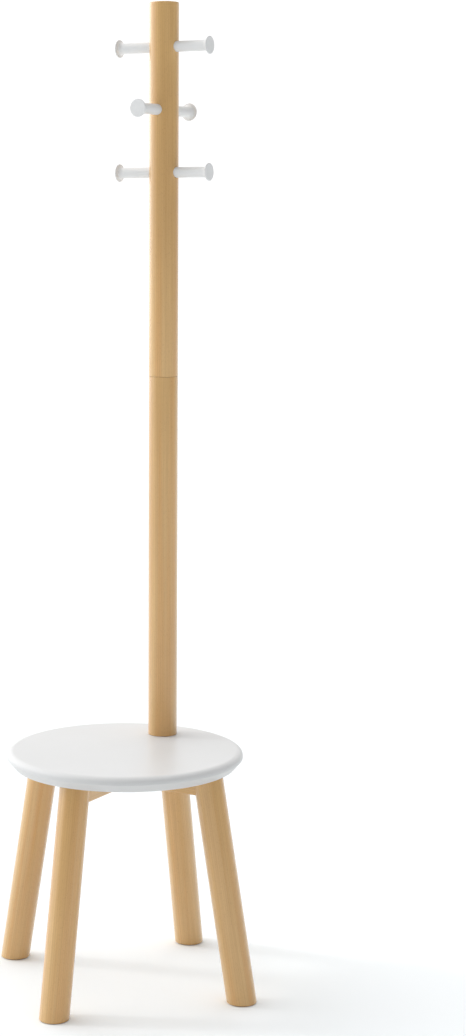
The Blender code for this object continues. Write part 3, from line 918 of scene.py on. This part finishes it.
# %% Set out the pegs
peg_set, peg_in, peg_out = group(
    "pegs_on_the_pole",
    "GeometryNodeTree",
    {
        "Outline": GEOMETRY,
        "Steps": INTEGER,
        "Pegs": INTEGER,
        "First Height": FLOAT,
        "Level Drop": FLOAT,
        "Pole Offset": FLOAT,
        "Material": MATERIAL,
    },
    {"Geometry": GEOMETRY},
)
one_peg = node(peg_set, "GeometryNodeGroup", {"Lean": 0.0}, node_tree=lathe)
for label in ("Outline", "Steps"):
    peg_set.links.new(peg_in[label], one_peg.inputs[label])
number = node(peg_set, "GeometryNodeInputIndex").outputs[0]
level = maths(peg_set, "FLOOR", maths(peg_set, "DIVIDE", number, 2.0))
drop = maths(peg_set, "MULTIPLY", level, peg_in["Level Drop"])
peg_height = maths(peg_set, "SUBTRACT", peg_in["First Height"], drop)
on_pole_sockets = {"Y": peg_in["Pole Offset"], "Z": peg_height}
on_pole = node(peg_set, "ShaderNodeCombineXYZ", on_pole_sockets).outputs[0]
half_turn = maths(peg_set, "MULTIPLY", maths(peg_set, "MODULO", number, 2.0), pi)
quarter_turn = maths(peg_set, "MULTIPLY", maths(peg_set, "MODULO", level, 2.0), pi / 2)
heading = maths(peg_set, "ADD", half_turn, quarter_turn)
euler = node(peg_set, "ShaderNodeCombineXYZ", {"Y": pi / 2, "Z": heading}).outputs[0]
spot_sockets = {"Count": peg_in["Pegs"], "Position": on_pole}
spots = node(peg_set, "GeometryNodePoints", spot_sockets).outputs[0]
outwards = node(peg_set, "FunctionNodeEulerToRotation", {0: euler}).outputs[0]
placed = node(
    peg_set,
    "GeometryNodeInstanceOnPoints",
    {"Points": spots, "Instance": one_peg.outputs[0], "Rotation": outwards},
).outputs[0]
ending(peg_set, placed, peg_in["Material"], peg_out["Geometry"])
print("peg tree:", len(peg_set.nodes), "nodes")

# %% Turn the pegs
pegs = run(
    peg_set,
    "turned_pegs",
    peg_outline,
    {
        "Steps": PEG_STEPS,
        "Pegs": PEG_COUNT,
        "First Height": PEG_FIRST_HEIGHT,
        "Level Drop": PEG_SPACING,
        "Pole Offset": POLE_OFFSET,
        "Material": PEG_WHITE_PAINTED_BRIGHTER,
    },
)
peg_pairs = {"upper": ("right", "left"), "middle": ("back", "front"), "lower": ("right", "left")}
peg_nodes = [f"peg_{level}_{side}" for level, sides in peg_pairs.items() for side in sides]
stands_for(pegs, "white_lacquer", *peg_nodes)

# %% [markdown]
# ## Bolts, washers and glides
#
# What holds the rack together only shows from below, sunk in the beams: a low round bolt head
# with a hexagonal socket and a washer on each arm, one of each at the crossing, a bigger pair
# under the pole, and a felt glide in each foot. They are all turned pieces set out on a ring, some
# with one more in the middle, so one tree makes them. It turns the piece on the lathe, and where
# the piece is a bolt it also cuts the socket with a six-sided key.

# %% The piece and its socket
ring_set, ring_in, ring_out = group(
    "set_out_on_a_ring",
    "GeometryNodeTree",
    {
        "Outline": GEOMETRY,
        "Steps": INTEGER,
        "On Ring": INTEGER,
        "In Middle": INTEGER,
        "Reach": FLOAT,
        "Middle": VECTOR,
        "Socket Radius": FLOAT,
        "Socket Floor": FLOAT,
        "Seed": INTEGER,
        "Material": MATERIAL,
    },
    {"Geometry": GEOMETRY},
)
KEY_SIDES = 6
KEY_LENGTH = 0.05

blank = node(ring_set, "GeometryNodeGroup", {"Lean": 0.0}, node_tree=lathe)
for label in ("Outline", "Steps"):
    ring_set.links.new(ring_in[label], blank.inputs[label])
key = node(
    ring_set,
    "GeometryNodeMeshCylinder",
    {"Vertices": KEY_SIDES, "Radius": ring_in["Socket Radius"], "Depth": KEY_LENGTH},
).outputs["Mesh"]
key_height = maths(ring_set, "SUBTRACT", ring_in["Socket Floor"], KEY_LENGTH / 2)
key_place = node(ring_set, "ShaderNodeCombineXYZ", {"Z": key_height}).outputs[0]
key_sockets = {"Geometry": key, "Translation": key_place}
key = node(ring_set, "GeometryNodeTransform", key_sockets).outputs[0]
socketed = node(
    ring_set,
    "GeometryNodeMeshBoolean",
    {0: blank.outputs[0], 1: key},
    operation="DIFFERENCE",
    solver="EXACT",
).outputs[0]
has_socket = maths(ring_set, "GREATER_THAN", ring_in["Socket Radius"], 0.0)
made_piece = node(
    ring_set,
    "GeometryNodeSwitch",
    {"Switch": has_socket, "False": blank.outputs[0], "True": socketed},
    input_type="GEOMETRY",
).outputs[0]
print("ring tree:", len(ring_set.nodes), "nodes so far")

# %% [markdown]
# The pieces are numbered. Those on the ring stand at equal angles, and any after them stand in
# the middle. Each is also turned by a random angle with a fixed seed, since no two bolts stop at
# the same angle. A hexagonal socket looks the same after a sixth of a turn, so that is the most.

# %% Set out on a ring
number = node(ring_set, "GeometryNodeInputIndex").outputs[0]
on_ring = maths(ring_set, "LESS_THAN", number, ring_in["On Ring"])
reach = maths(ring_set, "MULTIPLY", on_ring, ring_in["Reach"])
at_least_one = maths(ring_set, "MAXIMUM", ring_in["On Ring"], 1.0)
step_angle = maths(ring_set, "DIVIDE", 2 * pi, at_least_one)
ring_angle = maths(ring_set, "MULTIPLY", number, step_angle)
ring_spot = node(
    ring_set,
    "ShaderNodeCombineXYZ",
    {
        "X": maths(ring_set, "MULTIPLY", reach, maths(ring_set, "COSINE", ring_angle)),
        "Y": maths(ring_set, "MULTIPLY", reach, maths(ring_set, "SINE", ring_angle)),
    },
).outputs[0]
middle_sockets = {0: ring_spot, 1: ring_in["Middle"]}
moved_spot = node(ring_set, "ShaderNodeVectorMath", middle_sockets).outputs[0]
count = maths(ring_set, "ADD", ring_in["On Ring"], ring_in["In Middle"])
spots = node(ring_set, "GeometryNodePoints", {"Count": count, "Position": moved_spot}).outputs[0]
turn_sockets = {2: 0.0, 3: 2 * pi / KEY_SIDES, 8: ring_in["Seed"]}
random_turn = node(ring_set, "FunctionNodeRandomValue", turn_sockets)
own_turn = node(ring_set, "ShaderNodeCombineXYZ", {"Z": random_turn.outputs[1]}).outputs[0]
own_turn = node(ring_set, "FunctionNodeEulerToRotation", {0: own_turn}).outputs[0]
placed = node(
    ring_set,
    "GeometryNodeInstanceOnPoints",
    {"Points": spots, "Instance": made_piece, "Rotation": own_turn},
).outputs[0]
ending(ring_set, placed, ring_in["Material"], ring_out["Geometry"])
print("ring tree:", len(ring_set.nodes), "nodes")

# %% [markdown]
# A bolt's head and its washer sit in a counterbore in the beam's underside, so their heights are
# worked out from the beam, upwards from the counterbore's open end.

# %% Outlines of bolts and washers
WASHER_THICKNESS = 0.0016
COUNTERBORE_DEPTH = 0.0065  # hides the washer and the bolt's head in the beam
WASHER_LOW = BEAM_UNDERSIDE + COUNTERBORE_DEPTH - GAP - WASHER_THICKNESS
BOLT_SEAT = WASHER_LOW - GAP
HEAD_HEIGHT, HEAD_ROUND, HEAD_EASE = 0.0035, 0.0022, 0.0003
ROD_CHAMFER, WASHER_EASE = 0.0005, 0.0003


def bolt_outline(shank, head, top):
    """A bolt that points up through the beam."""
    face = BOLT_SEAT - HEAD_HEIGHT
    return eased(
        [
            (0, face),
            (head - HEAD_ROUND - HEAD_EASE, face),
            (head, face, HEAD_ROUND),
            (head, BOLT_SEAT, HEAD_EASE),
            (shank, BOLT_SEAT),
            (shank, top - ROD_CHAMFER),
            (shank - ROD_CHAMFER, top),
            (0, top),
        ]
    )


def washer_outline(inner, outer):
    """A washer's section, which closes on itself."""
    low, high = WASHER_LOW, WASHER_LOW + WASHER_THICKNESS
    corners = [
        (inner, low),
        (outer, low, WASHER_EASE),
        (outer, high, WASHER_EASE),
        (inner, high),
        (inner, low),
    ]
    return eased(corners)


print("the washers lie", round(1000 * WASHER_LOW, 1), "mm above the floor")

# %% Seat bolts and washers
USUAL_SIZES = {
    "Steps": 48,
    "On Ring": len(HEADINGS),
    "In Middle": 1,
    "Reach": SEAT_BOLT_REACH,
    "Middle": (0.0, 0.0, 0.0),
    "Socket Radius": 0.0,
    "Socket Floor": 0.0,
    "Seed": 7,
    "Material": STEEL,
}
SOCKET_DEPTH = 0.002
SEAT_BOLT_DEPTH = 0.012  # how far the bolts reach up into the seat
SEAT_BOLT_SHANK, SEAT_BOLT_HEAD, SEAT_BOLT_SOCKET = 0.003, 0.0055, 0.0023
SEAT_WASHER_HOLE, SEAT_WASHER_RADIUS = 0.0033, 0.006


def set_out(name, outline, slot, nodes, sizes):
    """Sets a turned piece out on a ring, in the place of its CAD nodes."""
    stands_for(run(ring_set, name, outline, USUAL_SIZES | sizes), slot, *nodes)


socket_floor = BOLT_SEAT - HEAD_HEIGHT + SOCKET_DEPTH
bolt_nodes = [f"seat_bolt_{side}" for side in (*HEADINGS, "centre")]
bolt_sizes = {"Socket Radius": SEAT_BOLT_SOCKET, "Socket Floor": socket_floor}
seat_bolt = bolt_outline(SEAT_BOLT_SHANK, SEAT_BOLT_HEAD, SEAT_UNDERSIDE + SEAT_BOLT_DEPTH)
set_out("seat_bolts", seat_bolt, "zinc_steel", bolt_nodes, bolt_sizes)
washer_nodes = [f"seat_washer_{side}" for side in (*HEADINGS, "centre")]
seat_washer = washer_outline(SEAT_WASHER_HOLE, SEAT_WASHER_RADIUS)
set_out("seat_washers", seat_washer, "zinc_steel", washer_nodes, {})

# %% Pole bolt and washer
POLE_BOLT_DEPTH = 0.024  # how far the bolt reaches up into the pole
POLE_BOLT_SHANK, POLE_BOLT_HEAD, POLE_BOLT_SOCKET = 0.004, 0.0070, 0.0029
POLE_WASHER_HOLE, POLE_WASHER_RADIUS = 0.0043, 0.008

under_pole = {"On Ring": 0, "Middle": (0.0, POLE_OFFSET, 0.0)}
bolt_sizes = {"Socket Radius": POLE_BOLT_SOCKET, "Socket Floor": socket_floor, **under_pole}
pole_bolt = bolt_outline(POLE_BOLT_SHANK, POLE_BOLT_HEAD, SEAT_TOP + POLE_BOLT_DEPTH)
set_out("pole_bolt_long", pole_bolt, "zinc_steel", ["pole_bolt"], bolt_sizes)
pole_washer = washer_outline(POLE_WASHER_HOLE, POLE_WASHER_RADIUS)
set_out("pole_washer_wide", pole_washer, "zinc_steel", ["pole_washer"], under_pole)

# %% [markdown]
# The glides are cut from felt sheet, so their lower edge is soft and crushed rather than crisp.

# %% Felt glides
GLIDE_EDGE, GLIDE_TOP_EASE = 0.0009, 0.0003
GLIDE_STEPS = 64
glide_outline = eased(
    [
        (0, 0),
        (GLIDE_RADIUS - 2 * HOLD, 0),
        (GLIDE_RADIUS, 0, GLIDE_EDGE),
        (GLIDE_RADIUS, GLIDE_THICKNESS, GLIDE_TOP_EASE),
        (0, GLIDE_THICKNESS),
    ]
)
glide_nodes = [f"glide_{side}" for side in HEADINGS]
glide_sizes = {"Steps": GLIDE_STEPS, "In Middle": 0, "Reach": LEG_FOOT_REACH, "Material": FELT}
set_out("felt_glides", glide_outline, "felt", glide_nodes, glide_sizes)

# %% [markdown]
# ## Hidden hardware
#
# The threaded sleeves, the studs and the dowel are shut inside the wood. They keep their CAD
# shapes, and take their finish for anyone who pulls the rack apart.

# %% Hidden hardware
DOWEL_BEECH = beech("beech_dowel", move=(0.4, 0.2, 12.0))
for name, cad_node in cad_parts.items():
    if not cad_node.hide_render and name not in BEAM_TIMBER:
        finish = DOWEL_BEECH if name == "foot_dowel" else STEEL
        cad_node.material_slots[0].material = finish
        print(name, "is painted with", finish.name)

# %% [markdown]
# ## Floor
#
# The rack stands on a plain white floor, large enough that its edge is never seen. It sends much
# of the room's light back up, which is what keeps the undersides and the fronts of the pieces
# bright.

# %% Floor
FLOOR_SIZE = 30.0
CLOUD_SCALE = (1.3,) * 3
FLOOR_TONES = (0.922, 0.952, 0.968, 1), (0.936, 0.966, 0.982, 1)
FLOOR_ROUGHNESS, FLOOR_SHINE = 0.9, 0.2

floor_shape = bmesh.new()
bmesh.ops.create_grid(floor_shape, x_segments=1, y_segments=1, size=FLOOR_SIZE / 2)
floor_mesh = bpy.data.meshes.new("floor")
floor_shape.to_mesh(floor_mesh)
floor_shape.free()
floor = bpy.data.objects.new("floor", floor_mesh)
scene.collection.objects.link(floor)
floor_white, floor_tree, floor_shader = material("floor_white")
floor_place = node(floor_tree, "ShaderNodeTexCoord").outputs["Object"]
floor_cloud = noise(floor_tree, stretched(floor_tree, floor_place, CLOUD_SCALE))
floor_paint = mixed(floor_tree, floor_cloud, *FLOOR_TONES)
floor_tree.links.new(floor_paint, floor_shader.inputs["Base Color"])
floor_shader.inputs["Roughness"].default_value = FLOOR_ROUGHNESS
floor_shader.inputs["Specular IOR Level"].default_value = FLOOR_SHINE
floor_mesh.materials.append(floor_white)
print("floor:", FLOOR_SIZE, "m square")

# %% [markdown]
# ## Light
#
# Nearly all the light is the soft white of the room itself, so it is worked out in the world's
# shader from the direction of each ray. The room is dim at eye level and grows brighter overhead.
# A wide window, low at the left and a little behind, lights the left sides of the dowels. A bright
# wall behind is what the satin seat mirrors at a low angle. To the camera itself the room is plain
# white.

# %% Room light
ZENITH, HORIZON = 1.02, 0.27
HORIZON_RISE = 0.25  # the room is at its dimmest up to this height of a ray
# Each bright part of the room: its heading, its rise, the cosine at its edge, and its strength
WINDOW = (radians(187), 0.25, 0.5, 1.7)
BACK_WALL = (radians(121), 0.1, 0.1, 0.8)
BACKDROP = 1.1

world = bpy.data.worlds.new("white_room")
world.use_nodes = True
scene.world = world
sky = world.node_tree
looking = node(sky, "ShaderNodeTexCoord").outputs["Generated"]
upwards = node(sky, "ShaderNodeSeparateXYZ", {0: looking}).outputs["Z"]
brightness = spread(sky, upwards, HORIZON_RISE, 1.0, HORIZON, ZENITH)
for heading, rise, edge, strength in (WINDOW, BACK_WALL):
    towards = Vector((cos(heading), sin(heading), rise)).normalized()
    sockets = {0: looking, 1: towards}
    facing = node(sky, "ShaderNodeVectorMath", sockets, operation="DOT_PRODUCT").outputs["Value"]
    glow = spread(sky, facing, edge, 1.0, 0.0, strength)
    brightness = maths(sky, "ADD", brightness, glow)
room = sky.nodes["Background"]
room.inputs["Color"].default_value = (1, 1, 1, 1)
sky.links.new(brightness, room.inputs["Strength"])
backdrop = node(sky, "ShaderNodeBackground", {"Color": (1, 1, 1, 1), "Strength": BACKDROP})
seen = node(sky, "ShaderNodeLightPath").outputs["Is Camera Ray"]
both = node(sky, "ShaderNodeMixShader", {0: seen, 1: room.outputs[0], 2: backdrop.outputs[0]})
sky.links.new(both.outputs[0], sky.nodes["World Output"].inputs["Surface"])
print("room light:", len(sky.nodes), "nodes")

# %% [markdown]
# One weak sun lamp from the left stands for the direct light through the window. It only draws
# the faint shadows that the legs and the seat throw to the right.

# %% Lamp
LAMP_HEIGHT_ANGLE = radians(40)
LAMP_HEADING = radians(197)
LAMP_SPREAD = radians(7)
LAMP_STRENGTH = 0.42
lamp_data = bpy.data.lights.new("window", "SUN")
lamp = bpy.data.objects.new("window", lamp_data)
scene.collection.objects.link(lamp)
lamp_data.angle = LAMP_SPREAD
lamp_data.energy = LAMP_STRENGTH
towards_lamp = Vector(
    (
        cos(LAMP_HEADING) * cos(LAMP_HEIGHT_ANGLE),
        sin(LAMP_HEADING) * cos(LAMP_HEIGHT_ANGLE),
        sin(LAMP_HEIGHT_ANGLE),
    )
)
lamp.rotation_euler = towards_lamp.to_track_quat("Z", "Y").to_euler()
scene.view_settings.view_transform = "Standard"
print("lamp:", LAMP_STRENGTH, "strong and", round(degrees(LAMP_SPREAD), 1), "degrees wide")
